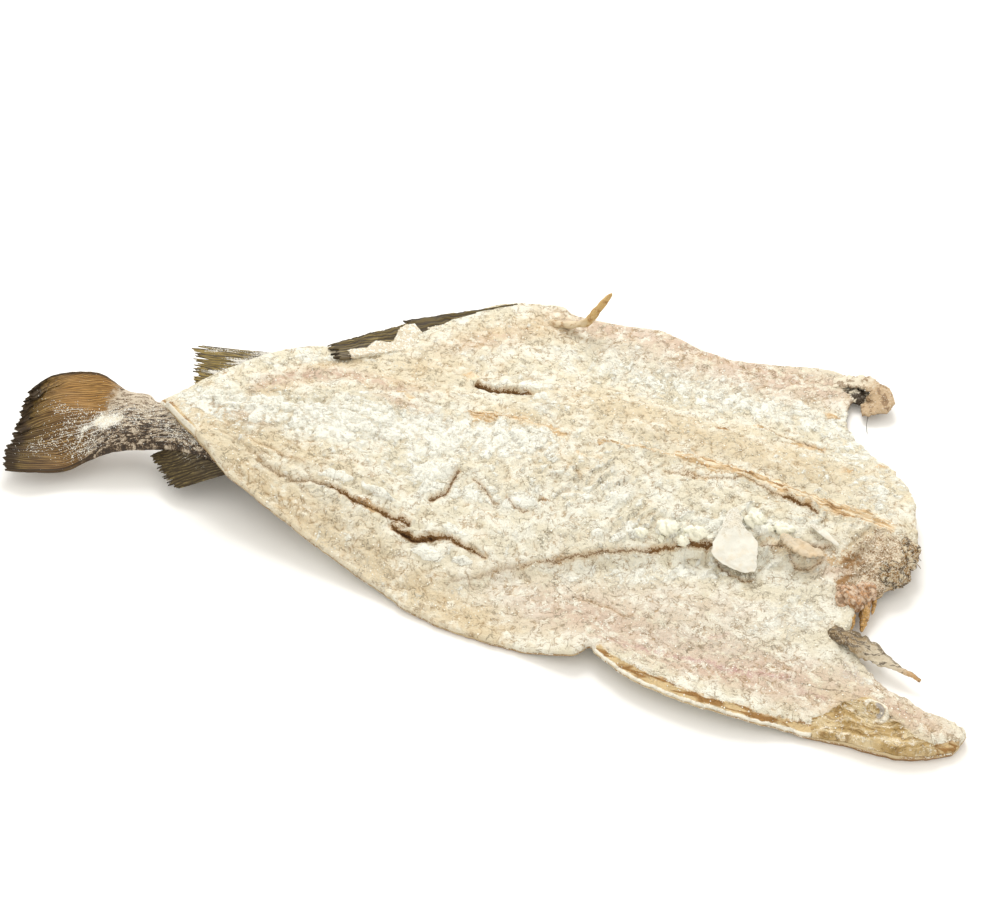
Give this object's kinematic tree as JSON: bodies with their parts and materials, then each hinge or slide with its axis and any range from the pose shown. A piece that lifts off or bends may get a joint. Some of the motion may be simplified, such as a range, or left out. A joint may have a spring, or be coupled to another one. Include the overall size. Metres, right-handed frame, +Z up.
{
  "type": "salted dried cod",
  "caption": "Whole salted and dried cod: beheaded, split along the belly and opened flat, with its tail, edge fins, curled flap tips and torn shreds.",
  "frame": {"origin": "middle of the bounding box, on the surface that the fish lies on", "axes": "+X from the tail fin to the neck cut, +Y to the edge that carries the belly fins, +Z up out of the flesh side"},
  "size_m": [0.646, 0.3356, 0.0484],
  "materials": {
    "flesh": "matte, crusted with fine salt",
    "skin": "dry leathery skin with a faint sheen",
    "fin": "dry ribbed membrane",
    "salt": "matte crystals"
  },
  "bodies": {
    "root": {"salted_cod": "flesh"}
  },
  "joints": []
}
